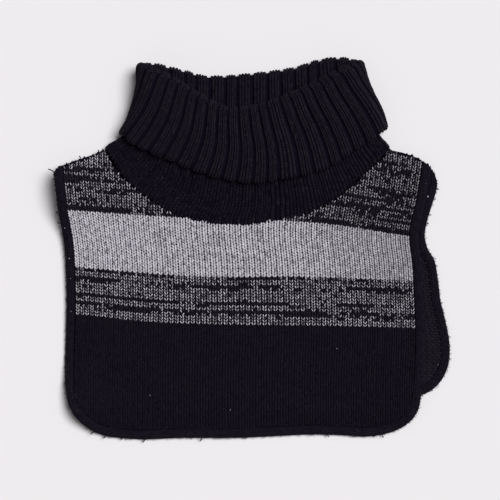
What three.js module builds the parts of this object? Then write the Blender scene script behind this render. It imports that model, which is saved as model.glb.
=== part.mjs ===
// A knitted neck warmer lying flat, front up: a folded rib collar on a front bib and a back bib.
// Millimetres. X runs across the bibs, Y from the hem towards the head, Z up from the surface.
import * as THREE from "three";

// Thickness of the knitted walls
const COLLAR_WALL = 3.6;
const BIB_WALL = 3.0;
const TRIM_WIDTH = 7.0;
const TRIM_HEIGHT = 4.0;
// Clear space between pieces that touch, and between the two plies of the collar
const SEAM_GAP = 0.55;
const NECK_GAP = 0.8;
const PLY_GAP = 0.8;
// Rib count on the two halves of the collar, and how deep a groove lies between two ribs
const RIBS_FRONT = 22;
const RIBS_BACK = 18;
const GROOVE = 1.5;
// The grooves on the side that is turned in are shallower by this share
const HIDDEN_SHARE = 0.5;
// Places inside one rib, from one groove to the next: groove, first edge, crest, second edge
const RIB_STEPS = [0, 0.2, 0.5, 0.8];
const GROOVE_STEP = 0;
const CREST_STEP = 2;
// How much the hem of the turned-down part is drawn up at each groove
const HEM_SCALLOP = 1.3;
const HEM_ROUNDING = 1.1;
// Height of the front bib's underside where it lies on the back bib, and where both are joined
const PILE = 4.5;
const SHOULDER_PILE = 3.8;
const SHOULDER_REACH = 10;
const NECK_RISE = 3.1;
const NECK_RISE_REACH = 38;
// The front bib slopes down to the surface past the edges of the back bib
const HEM_DROP_START = -127;
const HEM_DROP_END = -147;
const SIDE_DROP = 12;
// One shoulder corner stands a little off the surface
const LIFT = 8;
const LIFT_REACH = 42;
const LIFTED_CORNER = { x: -158, y: 64 };

// Lines of the collar seen from above, front half: across is -1 at the left fold and 1 at the right
const FRONT_LINES = [
  { across: -1.0, rim: 148.0, hem: 92.0, seam: 79.5 },
  { across: -0.9, rim: 145.0, hem: 83.0, seam: 60.5 },
  { across: -0.75, rim: 138.6, hem: 75.3, seam: 45.2 },
  { across: -0.6, rim: 131.0, hem: 69.0, seam: 33.2 },
  { across: -0.4, rim: 120.0, hem: 60.2, seam: 23.8 },
  { across: -0.2, rim: 112.2, hem: 54.5, seam: 20.4 },
  { across: 0.0, rim: 113.6, hem: 52.0, seam: 19.6 },
  { across: 0.2, rim: 118.1, hem: 55.0, seam: 23.0 },
  { across: 0.4, rim: 125.0, hem: 58.9, seam: 27.4 },
  { across: 0.6, rim: 134.3, hem: 67.0, seam: 38.8 },
  { across: 0.75, rim: 140.4, hem: 77.5, seam: 53.0 },
  { across: 0.9, rim: 147.2, hem: 87.8, seam: 68.4 },
  { across: 1.0, rim: 150.0, hem: 96.0, seam: 79.5 },
];
// The same lines on the half that lies on the surface
const BACK_LINES = [
  { across: -1.0, rim: 148.0, hem: 92.0, seam: 79.5 },
  { across: -0.9, rim: 148.6, hem: 89.0, seam: 75.0 },
  { across: -0.6, rim: 142.5, hem: 83.2, seam: 66.5 },
  { across: -0.4, rim: 138.6, hem: 80.0, seam: 62.0 },
  { across: 0.0, rim: 140.3, hem: 77.6, seam: 59.0 },
  { across: 0.4, rim: 145.7, hem: 80.0, seam: 62.0 },
  { across: 0.6, rim: 151.0, hem: 84.0, seam: 66.5 },
  { across: 0.75, rim: 152.2, hem: 87.5, seam: 70.5 },
  { across: 0.9, rim: 151.4, hem: 92.0, seam: 75.0 },
  { across: 1.0, rim: 150.0, hem: 96.0, seam: 79.5 },
];

// Flattened rings of the collar's wall, on its middle: side is the radius of the folds at left and right.
// The stand, from the neck seam (0) up to the rim (1)
const STAND_RINGS = [
  { up: 0.0, left: -115.8, right: 108.6, back: 1.9, front: 9.0, side: 3.3, ribs: 0.15 },
  { up: 0.06, left: -114.0, right: 107.2, back: 2.3, front: 9.9, side: 3.5, ribs: 0.3 },
  { up: 0.15, left: -103.6, right: 101.6, back: 4.6, front: 11.8, side: 3.5, ribs: 0.5 },
  { up: 0.3, left: -98.0, right: 96.6, back: 6.2, front: 15.0, side: 4.3, ribs: 0.8 },
  { up: 0.65, left: -92.2, right: 90.2, back: 6.2, front: 21.0, side: 7.0, ribs: 1.0 },
];
// Midway between the two plies at the rim
const RIM_RING = { left: -89.6, right: 87.2, back: 4.0, front: 28.0, side: 11.0 };
// The turned-down part, from the rim (0) to its hem (1)
const FLAP_RINGS = [
  { down: 0.5, left: -96.4, right: 97.6, back: 1.8, front: 27.4, side: 12.0 },
  { down: 1.0, left: -104.9, right: 106.4, back: 1.8, front: 21.2, side: 9.2 },
];

// Ends of the neck seam seen from above
const SEAM_SPAN = { left: -117.6, right: 110.4 };

// Shoulder lines, from the outer corner to the neck
const LEFT_SHOULDER = [
  { x: -158.0, y: 64.0 },
  { x: -136.0, y: 74.4 },
  { x: -118.6, y: 80.2 },
];
const RIGHT_SHOULDER = [
  { x: 111.6, y: 79.0 },
  { x: 123.2, y: 76.0 },
  { x: 136.0, y: 70.4 },
  { x: 147.0, y: 62.0 },
];

// Outer edge of the front bib's trim, from the left shoulder round the hem to the right shoulder
const FRONT_EDGE = [
  { x: -157.4, y: 65.0 },
  { x: -157.0, y: 56.0 },
  { x: -152.8, y: 28.0 },
  { x: -148.8, y: -0.8 },
  { x: -148.0, y: -40.8 },
  { x: -149.0, y: -76.0 },
  { x: -150.4, y: -104.8 },
  { x: -148.4, y: -124.0 },
  { x: -140.8, y: -138.4 },
  { x: -126.4, y: -147.4 },
  { x: -94.0, y: -151.0 },
  { x: -50.0, y: -151.0 },
  { x: -11.2, y: -149.6 },
  { x: 40.0, y: -147.8 },
  { x: 84.8, y: -149.4 },
  { x: 104.8, y: -148.0 },
  { x: 119.6, y: -142.6 },
  { x: 130.4, y: -132.6 },
  { x: 135.0, y: -117.0 },
  { x: 139.2, y: -72.8 },
  { x: 138.4, y: -40.8 },
  { x: 137.2, y: -10.4 },
  { x: 135.4, y: 11.2 },
  { x: 137.6, y: 34.0 },
  { x: 142.0, y: 58.0 },
  { x: 143.0, y: 65.0 },
];
// The same for the back bib, which lies a little further right and shorter
const BACK_EDGE = [
  { x: -157.4, y: 65.0 },
  { x: -155.0, y: 50.0 },
  { x: -147.0, y: 22.0 },
  { x: -141.0, y: -8.0 },
  { x: -138.0, y: -45.0 },
  { x: -137.0, y: -80.0 },
  { x: -133.0, y: -101.0 },
  { x: -122.0, y: -115.0 },
  { x: -102.0, y: -120.0 },
  { x: -50.0, y: -121.0 },
  { x: 30.0, y: -120.5 },
  { x: 100.0, y: -120.4 },
  { x: 122.0, y: -120.2 },
  { x: 140.0, y: -114.4 },
  { x: 150.4, y: -104.8 },
  { x: 156.0, y: -90.4 },
  { x: 156.8, y: -76.0 },
  { x: 154.8, y: -61.6 },
  { x: 150.4, y: -42.4 },
  { x: 147.8, y: -23.2 },
  { x: 144.4, y: -8.8 },
  { x: 139.4, y: 0.8 },
  { x: 137.6, y: 12.0 },
  { x: 140.8, y: 29.6 },
  { x: 146.6, y: 50.0 },
  { x: 147.2, y: 62.0 },
];
// Where the rounded lower corners start, and how finely each bib is divided
const FRONT_BIB = { cornerLeft: -104, cornerRight: -104, shoulderColumns: 5, neckColumns: 22, rows: 12 };
const BACK_BIB = { cornerLeft: -80, cornerRight: -82, shoulderColumns: 3, neckColumns: 18, rows: 9 };
const CORNER_CROWDING = 1.8;
const TRIM_STEPS = 88;

const mix = THREE.MathUtils.lerp;
const ease = THREE.MathUtils.smoothstep;

// A column of a table at one place, on a smooth curve through its rows
function read(table, key, column, at) {
  const last = table.length - 1;
  if (at <= table[0][key]) return table[0][column];
  if (at >= table[last][key]) return table[last][column];
  const i = table.findIndex((row) => row[key] > at) - 1;
  const slope = (k) => {
    const a = table[Math.max(k - 1, 0)];
    const b = table[Math.min(k + 1, last)];
    return (b[column] - a[column]) / (b[key] - a[key]);
  };
  const from = table[i];
  const to = table[i + 1];
  const span = to[key] - from[key];
  const t = (at - from[key]) / span;
  const rise = from[column] - to[column];
  const a = 2 * rise + span * (slope(i) + slope(i + 1));
  const b = -3 * rise - span * (2 * slope(i) + slope(i + 1));
  return ((a * t + b) * t + span * slope(i)) * t + from[column];
}

// One ring of the flattened collar: places at even steps round it, over the front from right to left,
// then under the back from left to right. lineAt gives the place along Y from across and the half's table.
const RING_SAMPLES = 480;
function ringPoints(ring, lineAt) {
  const { left, right, back, front, side } = ring;
  const middle = (left + right) / 2;
  const reach = (right - left) / 2;
  const flat = right - left - 2 * side;
  const quarter = (Math.PI / 2) * side;
  const crown = front - back - 2 * side;
  const half = (isFront) => {
    const up = isFront ? 1 : -1;
    const samples = [];
    for (let i = 0; i <= RING_SAMPLES; i++) {
      const along = ((flat + 2 * quarter) * i) / RING_SAMPLES;
      let x, z, nx, nz;
      if (along < quarter || along > quarter + flat) {
        const end = along < quarter ? 1 : -1;
        const turn = (along < quarter ? along : flat + 2 * quarter - along) / side;
        nx = end * Math.cos(turn);
        nz = Math.sin(turn);
        x = (end > 0 ? right - side : left + side) + side * nx;
        z = side * nz;
      } else {
        const share = (along - quarter) / flat;
        x = right - side - share * flat;
        z = side + (isFront ? crown * 4 * share * (1 - share) : 0);
        nx = 0;
        nz = 1;
      }
      const across = THREE.MathUtils.clamp((x - middle) / reach, -1, 1);
      const y = lineAt(across, isFront ? FRONT_LINES : BACK_LINES);
      samples.push({ x, y, z: back + side + up * z, nx, nz: up * nz });
    }
    return samples;
  };
  return [
    ...evenly(half(true), RIBS_FRONT),
    ...evenly(half(false).reverse(), RIBS_BACK),
  ];
}

// Places along a run of samples at every step of every rib
function evenly(samples, ribs) {
  const length = [0];
  for (let i = 1; i < samples.length; i++) {
    const a = samples[i - 1];
    const b = samples[i];
    length.push(length[i - 1] + Math.hypot(b.x - a.x, b.y - a.y, b.z - a.z));
  }
  const total = length[length.length - 1];
  const places = [];
  let i = 1;
  for (let rib = 0; rib < ribs; rib++) {
    for (const step of RIB_STEPS) {
      const at = (total * (rib + step)) / ribs;
      while (length[i] < at) i++;
      const t = (at - length[i - 1]) / (length[i] - length[i - 1]);
      const a = samples[i - 1];
      const b = samples[i];
      const place = {};
      for (const key of ["x", "y", "z", "nx", "nz"]) place[key] = mix(a[key], b[key], t);
      places.push(place);
    }
  }
  return places;
}

const FOLD_RADIUS = COLLAR_WALL + PLY_GAP / 2;
const HALF_WALL = COLLAR_WALL / 2;

// A point set off from the middle of the wall: out along the ring's normal, and along Y
function setOff(place, out, along = 0) {
  return new THREE.Vector3(place.x + place.nx * out, place.y + along, place.z + place.nz * out);
}

// The collar's section at every place round it, as one closed loop: up the inside of the stand, over the
// rim, down the outside of the turned-down part, round its hem and back up between the two plies
function collarSections() {
  const base = (across, table) => read(table, "across", "rim", across) - FOLD_RADIUS;
  const line = (name, across, table) => read(table, "across", name, across);
  const stand = STAND_RINGS.map((ring) =>
    ringPoints(ring, (a, t) => mix(line("seam", a, t), base(a, t), ring.up)),
  );
  const rim = ringPoints(RIM_RING, base);
  const flap = FLAP_RINGS.map((ring) =>
    ringPoints(ring, (a, t) => mix(base(a, t), line("hem", a, t), ring.down)),
  );
  const sections = [];
  for (let i = 0; i < rim.length; i++) {
    const step = i % RIB_STEPS.length;
    const groove = step === GROOVE_STEP ? GROOVE : 0;
    const inward = step === CREST_STEP ? GROOVE * HIDDEN_SHARE : 0;
    const loop = [];
    for (const k of [0, 2, 3, 4]) {
      loop.push(setOff(stand[k][i], -HALF_WALL + groove * STAND_RINGS[k].ribs));
    }
    for (const turn of [1, 2 / 3, 1 / 3, 0]) {
      const angle = Math.PI * turn;
      const radius = FOLD_RADIUS - groove;
      loop.push(setOff(rim[i], radius * Math.cos(angle), radius * Math.sin(angle)));
    }
    const hem = flap[1][i];
    const draw = groove ? HEM_SCALLOP : 0;
    loop.push(setOff(flap[0][i], HALF_WALL - groove));
    loop.push(setOff(hem, HALF_WALL - groove, draw));
    loop.push(setOff(hem, 0, draw - HEM_ROUNDING));
    loop.push(setOff(hem, -HALF_WALL + inward, draw));
    loop.push(setOff(flap[0][i], -HALF_WALL + inward));
    loop.push(setOff(rim[i], PLY_GAP / 2, -PLY_GAP));
    loop.push(setOff(rim[i], -PLY_GAP / 2, -PLY_GAP));
    for (const k of [4, 3, 2, 1, 0]) {
      loop.push(setOff(stand[k][i], HALF_WALL - inward * STAND_RINGS[k].ribs));
    }
    sections.push(loop);
  }
  return sections;
}

// A closed mesh from loops of points: joined end to start, or capped at both ends
function skin(sections, closed) {
  const count = sections[0].length;
  const positions = sections.flat().flatMap((p) => [p.x, p.y, p.z]);
  const faces = [];
  const spans = closed ? sections.length : sections.length - 1;
  for (let i = 0; i < spans; i++) {
    const a = i * count;
    const b = ((i + 1) % sections.length) * count;
    for (let j = 0; j < count; j++) {
      const k = (j + 1) % count;
      faces.push(a + j, b + j, b + k, a + j, b + k, a + k);
    }
  }
  if (!closed) {
    const end = (sections.length - 1) * count;
    for (let j = 1; j < count - 1; j++) {
      faces.push(0, j, j + 1);
      faces.push(end, end + j + 1, end + j);
    }
  }
  return facingOut(positions, faces);
}

// Builds the geometry, turning its faces round if they point inwards
function facingOut(positions, faces) {
  const corner = (i) => new THREE.Vector3().fromArray(positions, 3 * i);
  let volume = 0;
  for (let i = 0; i < faces.length; i += 3) {
    volume += corner(faces[i]).cross(corner(faces[i + 1])).dot(corner(faces[i + 2]));
  }
  if (volume < 0) faces.reverse();
  const geometry = new THREE.BufferGeometry();
  geometry.setAttribute("position", new THREE.Float32BufferAttribute(positions, 3));
  geometry.setIndex(faces);
  geometry.computeVertexNormals();
  return geometry;
}

// A smooth edge through a table's points, and the same edge moved inwards
const EDGE_STEPS = 400;
const EDGE_MARGIN = 0.001;
const SEARCH_PASSES = 6;
function edgePath(rows) {
  const points = rows.map(({ x, y }) => new THREE.Vector3(x, y, 0));
  return new THREE.CatmullRomCurve3(points, false, "centripetal");
}
function inset(curve, steps, distance) {
  return Array.from({ length: steps + 1 }, (_, i) => {
    const point = curve.getPointAt(i / steps);
    const tangent = curve.getTangentAt(i / steps);
    return { x: point.x - tangent.y * distance, y: point.y + tangent.x * distance };
  });
}

// Crossings of a run of points with one value of a coordinate, in the order of the run
function crossings(path, key, other, value) {
  const found = [];
  for (let i = 1; i < path.length; i++) {
    const a = path[i - 1];
    const b = path[i];
    if (a[key] === b[key] || (a[key] - value) * (b[key] - value) > 0) continue;
    found.push(mix(a[other], b[other], (value - a[key]) / (b[key] - a[key])));
  }
  return found;
}

// The neck edge of a bib: the seam line moved off the collar by the gap
function neckEdge(x, table) {
  const middle = (SEAM_SPAN.left + SEAM_SPAN.right) / 2;
  const reach = (SEAM_SPAN.right - SEAM_SPAN.left) / 2;
  const moved = x + (x < middle ? NECK_GAP : -NECK_GAP);
  const across = THREE.MathUtils.clamp((moved - middle) / reach, -1, 1);
  return read(table, "across", "seam", across) - NECK_GAP;
}

// The top edge of a bib: shoulder, neck, shoulder
function topEdge(x, table) {
  if (x <= LEFT_SHOULDER[2].x) return read(LEFT_SHOULDER, "x", "y", x);
  if (x >= RIGHT_SHOULDER[0].x) return read(RIGHT_SHOULDER, "x", "y", x);
  return neckEdge(x, table);
}

// Heights of the undersides above the surface
function cornerLift(x, y) {
  const away = Math.hypot(x - LIFTED_CORNER.x, y - LIFTED_CORNER.y);
  return LIFT * ease(LIFT_REACH - away, 0, LIFT_REACH);
}
const backEdge = inset(edgePath(BACK_EDGE), EDGE_STEPS, 0);
function backReach(y) {
  return crossings(backEdge, "y", "x", Math.max(y, BACK_BIB.cornerLeft))[0] ?? backEdge[0].x;
}
function pile(x, y) {
  const hem = ease(y, HEM_DROP_END, HEM_DROP_START);
  const reach = backReach(y);
  return PILE * hem * ease(x, reach - SIDE_DROP, reach);
}
function shoulderGap(x, y) {
  const row = x < 0 ? LEFT_SHOULDER : RIGHT_SHOULDER;
  const inNeck = x > LEFT_SHOULDER[2].x && x < RIGHT_SHOULDER[0].x;
  const below = read(row, "x", "y", x) - y;
  return inNeck ? 1 : ease(below, 0, SHOULDER_REACH);
}
function frontUnderside(x, y) {
  const middle = (SEAM_SPAN.left + SEAM_SPAN.right) / 2;
  const reach = (SEAM_SPAN.right - SEAM_SPAN.left) / 2;
  const beside = Math.max(0, Math.abs(x - middle) - reach);
  const below = Math.max(0, neckEdge(x, FRONT_LINES) - y);
  const near = ease(NECK_RISE_REACH - Math.hypot(beside, below), 0, NECK_RISE_REACH);
  const joined = shoulderGap(x, y);
  const lying = mix(Math.min(SHOULDER_PILE, pile(x, y)), pile(x, y), joined);
  return lying + NECK_RISE * near * joined + cornerLift(x, y);
}
const trimUnderside = (x, y) => pile(x, y) + cornerLift(x, y);
const backUnderside = (x, y) => cornerLift(x, y);

// A bib as a sheet of even thickness, its columns running with the wales of the knit
function bib(edgeRows, lines, plan, underside) {
  const edge = inset(edgePath(edgeRows), EDGE_STEPS, TRIM_WIDTH + SEAM_GAP);
  const last = edge.length - 1;
  const leftAt = (y) => {
    const found = crossings(edge, "y", "x", Math.max(y, plan.cornerLeft));
    return found.find((x) => x < 0) ?? edge[0].x;
  };
  const rightAt = (y) => {
    const found = crossings(edge, "y", "x", Math.max(y, plan.cornerRight));
    return found.findLast((x) => x > 0) ?? edge[last].x;
  };
  const bottomAt = (x) => Math.min(...crossings(edge, "x", "y", x));
  const shareAt = (x, y) => (x - leftAt(y)) / (rightAt(y) - leftAt(y));
  const neckLeft = LEFT_SHOULDER[2];
  const neckRight = RIGHT_SHOULDER[0];
  const stops = [0, shareAt(neckLeft.x, neckLeft.y), shareAt(neckRight.x, neckRight.y), 1];
  const counts = [plan.shoulderColumns, plan.neckColumns, plan.shoulderColumns];
  const shares = [0];
  // Columns stand closer together towards the rounded corners
  const spread = [(t) => t ** CORNER_CROWDING, (t) => t, (t) => 1 - (1 - t) ** CORNER_CROWDING];
  counts.forEach((count, span) => {
    for (let i = 1; i <= count; i++) {
      shares.push(mix(stops[span], stops[span + 1], spread[span](i / count)));
    }
  });
  const columns = shares.map((share) => {
    const inside = THREE.MathUtils.clamp(share, EDGE_MARGIN, 1 - EDGE_MARGIN);
    const xLow = mix(leftAt(plan.cornerLeft), rightAt(plan.cornerRight), inside);
    const yLow = bottomAt(xLow);
    let yTop = neckLeft.y;
    for (let pass = 0; pass < SEARCH_PASSES; pass++) {
      yTop = topEdge(mix(leftAt(yTop), rightAt(yTop), share), lines);
    }
    return Array.from({ length: plan.rows + 1 }, (_, row) => {
      const y = mix(yTop, yLow, row / plan.rows);
      return { x: mix(leftAt(y), rightAt(y), inside), y };
    });
  });
  const sections = columns.map((column) => {
    const above = column.map(({ x, y }) => new THREE.Vector3(x, y, underside(x, y) + BIB_WALL));
    const below = column.map(({ x, y }) => new THREE.Vector3(x, y, underside(x, y)));
    return [...above, ...below.reverse()];
  });
  return sheet(sections);
}

// A closed sheet from columns that each run down its upper face and back up its lower face
function sheet(sections) {
  const count = sections[0].length;
  const positions = sections.flat().flatMap((p) => [p.x, p.y, p.z]);
  const faces = [];
  for (let i = 0; i < sections.length - 1; i++) {
    const a = i * count;
    const b = a + count;
    for (let j = 0; j < count; j++) {
      const k = (j + 1) % count;
      faces.push(a + j, b + j, b + k, a + j, b + k, a + k);
    }
  }
  const end = (sections.length - 1) * count;
  for (let j = 0; j < count / 2 - 1; j++) {
    const k = count - 1 - j;
    faces.push(j, j + 1, k - 1, j, k - 1, k);
    faces.push(end + j, end + k - 1, end + j + 1, end + j, end + k, end + k - 1);
  }
  return facingOut(positions, faces);
}

// The rounded knitted band round a bib: out is across the band from its middle, up is from its underside
const TRIM_SECTION = [
  { out: 0.5, up: 0.5 },
  { out: 0.32, up: 1.0 },
  { out: -0.34, up: 1.0 },
  { out: -0.5, up: 0.5 },
  { out: -0.34, up: 0.0 },
  { out: 0.32, up: 0.0 },
];
function trim(edgeRows, underside) {
  const curve = edgePath(edgeRows);
  const sections = [];
  for (let i = 0; i <= TRIM_STEPS; i++) {
    const point = curve.getPointAt(i / TRIM_STEPS);
    const tangent = curve.getTangentAt(i / TRIM_STEPS);
    const middle = { x: point.x - (tangent.y * TRIM_WIDTH) / 2, y: point.y + (tangent.x * TRIM_WIDTH) / 2 };
    const low = underside(middle.x, middle.y);
    sections.push(
      TRIM_SECTION.map(({ out, up }) => {
        const aside = out * TRIM_WIDTH;
        const x = middle.x + tangent.y * aside;
        return new THREE.Vector3(x, middle.y - tangent.x * aside, low + up * TRIM_HEIGHT);
      }),
    );
  }
  return skin(sections, false);
}

// Yarns
const blackYarn = new THREE.MeshStandardMaterial({ color: 0x141118, roughness: 0.95, metalness: 0 });
const stripedKnit = new THREE.MeshStandardMaterial({ color: 0x49464d, roughness: 0.95, metalness: 0 });

const group = new THREE.Group();
function add(name, geometry, material) {
  const mesh = new THREE.Mesh(geometry, material);
  mesh.name = name;
  group.add(mesh);
}
add("rib_collar", skin(collarSections(), true), blackYarn);
add("front_panel", bib(FRONT_EDGE, FRONT_LINES, FRONT_BIB, frontUnderside), stripedKnit);
add("back_panel", bib(BACK_EDGE, BACK_LINES, BACK_BIB, backUnderside), blackYarn);
add("front_trim", trim(FRONT_EDGE, trimUnderside), blackYarn);
add("back_trim", trim(BACK_EDGE, backUnderside), blackYarn);

// The frame's origin is below the middle of the whole object, on the surface it lies on
const box = new THREE.Box3().setFromObject(group);
const centre = box.getCenter(new THREE.Vector3());
group.position.set(-centre.x, -centre.y, -box.min.z);

export default group;
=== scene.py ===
# %% [markdown]
# # A knitted neck warmer, laid flat
#
# A roll collar in rib knit stands on two bibs in plain knit. The front bib has a marled yoke, a grey
# band, a marled band and a black lower part. We build the cloth first, as closed walls, and then knit
# every stitch on top as real yarn, because the way the stitches catch the light is what makes a
# photograph of knitwear look like knitwear.

# %% Load the frame
import math

import bmesh
import bpy
import numpy as np
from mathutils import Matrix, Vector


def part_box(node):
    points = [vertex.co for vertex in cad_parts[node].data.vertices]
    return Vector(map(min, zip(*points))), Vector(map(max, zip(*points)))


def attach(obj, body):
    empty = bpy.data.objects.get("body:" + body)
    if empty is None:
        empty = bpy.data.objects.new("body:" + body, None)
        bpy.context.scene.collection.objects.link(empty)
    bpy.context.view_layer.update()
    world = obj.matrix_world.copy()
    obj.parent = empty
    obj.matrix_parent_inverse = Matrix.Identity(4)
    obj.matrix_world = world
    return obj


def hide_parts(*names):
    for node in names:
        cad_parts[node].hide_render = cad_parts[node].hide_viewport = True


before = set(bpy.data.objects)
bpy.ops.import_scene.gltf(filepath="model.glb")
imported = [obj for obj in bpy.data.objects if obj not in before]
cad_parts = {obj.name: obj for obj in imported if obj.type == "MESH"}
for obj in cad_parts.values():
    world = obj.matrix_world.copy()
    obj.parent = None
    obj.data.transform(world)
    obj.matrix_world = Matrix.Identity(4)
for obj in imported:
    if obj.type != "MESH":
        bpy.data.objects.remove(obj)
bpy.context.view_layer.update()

MM = 0.001
print("nodes", sorted(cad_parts))

# %% [markdown]
# ## Camera
#
# The photograph looks straight down, from high enough that the sides of the collar hardly show. An
# orthographic camera would come close, but the raised collar looks a little larger than the hem. So a
# long lens about 1.6 m up stands over the middle of the picture, as the photographer's did.

# %% Camera over the middle of the picture
PICTURE_PIXELS = 500
MM_PER_PIXEL = 0.8
CAMERA_HEIGHT = 1.6
MEASURED_LEVEL = 0.006
SENSOR_MM = 36
PICTURE_CENTRE_MM = (-1.345, -0.934)


def add_object(name, data):
    made = bpy.data.objects.new(name, data)
    bpy.context.scene.collection.objects.link(made)
    return made


camera_data = bpy.data.cameras.new("camera")
camera_data.sensor_width = SENSOR_MM
picture_width = PICTURE_PIXELS * MM_PER_PIXEL * MM
camera_data.lens = SENSOR_MM * (CAMERA_HEIGHT - MEASURED_LEVEL) / picture_width
camera = add_object("camera", camera_data)
camera.location = (PICTURE_CENTRE_MM[0] * MM, PICTURE_CENTRE_MM[1] * MM, CAMERA_HEIGHT)
bpy.context.scene.camera = camera
print("lens", round(camera_data.lens, 1), "mm")

# %% [markdown]
# ## Tables and curves
#
# The outline of cloth that lies as it fell has no formula, and a cloth simulation would lie down some
# other way each time. So a few short tables hold it: where the rim, the hem and the neck seam run, and
# where the edges of the bibs lie. A smooth curve through the rows gives every place between them. The
# numbers are millimetres.

# %% Reading a table smoothly
def columns(names, rows):
    return dict(zip(names.split(), np.array(rows, float).T))


def read(table, name, at):
    """A column of a table at many places, on a smooth curve through its rows."""
    key = next(iter(table.values()))
    value = table[name]
    at = np.clip(at, key[0], key[-1])
    slope = np.empty_like(value)
    slope[1:-1] = (value[2:] - value[:-2]) / (key[2:] - key[:-2])
    slope[0] = (value[1] - value[0]) / (key[1] - key[0])
    slope[-1] = (value[-1] - value[-2]) / (key[-1] - key[-2])
    i = np.clip(np.searchsorted(key, at, side="right") - 1, 0, len(key) - 2)
    span = key[i + 1] - key[i]
    t = (at - key[i]) / span
    rise = value[i] - value[i + 1]
    a = 2 * rise + span * (slope[i] + slope[i + 1])
    b = -3 * rise - span * (2 * slope[i] + slope[i + 1])
    return ((a * t + b) * t + span * slope[i]) * t + value[i]


def ease(x, low, high):
    t = np.clip((x - low) / (high - low), 0, 1)
    return t * t * (3 - 2 * t)


def mix(a, b, t):
    return a + (b - a) * t


def lengths_along(path):
    """The length of the way from the first point of a path to each of its points."""
    return np.concatenate([[0], np.cumsum(np.linalg.norm(np.diff(path, axis=0), axis=1))])


def every(*axes):
    """Every combination of the values, as one flat row for each axis."""
    return [values.ravel() for values in np.meshgrid(*axes, indexing="ij")]

# %% Lines of the collar seen from above
FRONT_LINES = columns("across rim hem seam", [
    (-1, 148, 92, 79.5),
    (-0.9, 145, 83, 60.5),
    (-0.75, 138.6, 75.3, 45.2),
    (-0.6, 131, 69, 33.2),
    (-0.4, 120, 60.2, 23.8),
    (-0.2, 112.2, 54.5, 20.4),
    (0, 113.6, 52, 19.6),
    (0.2, 118.1, 55, 23),
    (0.4, 125, 58.9, 27.4),
    (0.6, 134.3, 67, 38.8),
    (0.75, 140.4, 77.5, 53),
    (0.9, 147.2, 87.8, 68.4),
    (1, 150, 96, 79.5),
])
BACK_LINES = columns("across rim hem seam", [
    (-1, 148, 92, 79.5),
    (-0.9, 149.2, 89, 75),
    (-0.6, 143.2, 83.2, 66.5),
    (-0.4, 139, 80, 62),
    (0, 141, 77.6, 59),
    (0.4, 145.8, 80, 62),
    (0.6, 151.2, 84, 66.5),
    (0.75, 153.6, 87.5, 70.5),
    (0.9, 153.2, 92, 75),
    (1, 150, 96, 79.5),
])

# %% Flattened rings of the collar's wall
STAND = columns("up left right back front side", [
    (0, -115.8, 108.6, 1.9, 9, 3.3),
    (0.06, -114, 107.2, 2.3, 9.9, 3.5),
    (0.15, -103.6, 101.6, 4.6, 11.8, 3.5),
    (0.3, -98, 96.6, 6.2, 15, 4.3),
    (0.65, -92.2, 90.2, 6.2, 21, 7),
    (1, -86, 83.6, 6.2, 25.8, 8.8),
])
RIM = {"left": -88.2, "right": 85.8, "back": 4.0, "front": 28.0, "side": 11.0}
FLAP = columns("down left right back front side", [
    (0, -90.4, 88, 1.8, 30.2, 13.2),
    (0.25, -91.2, 91.8, 1.8, 29.1, 12.7),
    (0.5, -93.4, 98, 1.8, 27.4, 12),
    (0.75, -98.6, 103.4, 1.8, 25.4, 10.8),
    (1, -105.6, 107.6, 1.8, 22.6, 9.2),
])
COLLAR_WALL = 3.6
PLY_GAP = 0.8
HALF_WALL = COLLAR_WALL / 2
FOLD_RADIUS = COLLAR_WALL + PLY_GAP / 2
RIBS_FRONT = 22
RIBS_BACK = 18
RIBS = RIBS_FRONT + RIBS_BACK
RING_SAMPLES = 480

# %% [markdown]
# ## The collar's shape
#
# A roll collar is one tube of rib knit, turned down over itself. Two bent tubes would show a seam at the
# rim, so we work out one tube. Flattened, each level of it is a long oval: two nearly flat sides and two
# round folds. We walk round such an oval, first over the front and then under the back, and give each
# rib its share. The hem is longer than the rim, so the ribs fan out towards it, and the outermost ones
# run off round the two folds: the places of the folds, counted in ribs, change with the level.

# %% One ring of the flattened tube
def half_ring(ring, line, is_front):
    """Places over the front half or under the back half, from right to left."""
    flat = ring["right"] - ring["left"] - 2 * ring["side"]
    quarter = math.pi / 2 * ring["side"]
    crown = ring["front"] - ring["back"] - 2 * ring["side"]
    along = np.linspace(0, flat + 2 * quarter, RING_SAMPLES + 1)
    turn_right = np.clip(along / ring["side"], 0, math.pi / 2)
    turn_left = np.clip((flat + 2 * quarter - along) / ring["side"], 0, math.pi / 2)
    share = np.clip((along - quarter) / flat, 0, 1)
    nx = np.cos(turn_right) - np.cos(turn_left)
    nz = np.sin(turn_right) * np.sin(turn_left)
    x = ring["right"] - ring["side"] - share * flat + ring["side"] * nx
    z = ring["side"] * nz + (crown * 4 * share * (1 - share) if is_front else 0)
    middle = (ring["left"] + ring["right"]) / 2
    across = (x - middle) / ((ring["right"] - ring["left"]) / 2)
    y = line(across, FRONT_LINES if is_front else BACK_LINES)
    up = 1 if is_front else -1
    return np.stack([x, y, ring["back"] + ring["side"] + up * z, nx, 0 * nx, up * nz], axis=1)


CROWDING = 0.05
RIM_FOLDS = (-0.9, 22.7)
HEM_FOLDS = (0.7, 20.9)
FAN_EARLY = 0.8
RIB_WANDER = 0.09
rib_random = np.random.default_rng(3)
wander = rib_random.normal(0, RIB_WANDER, RIBS)


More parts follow.
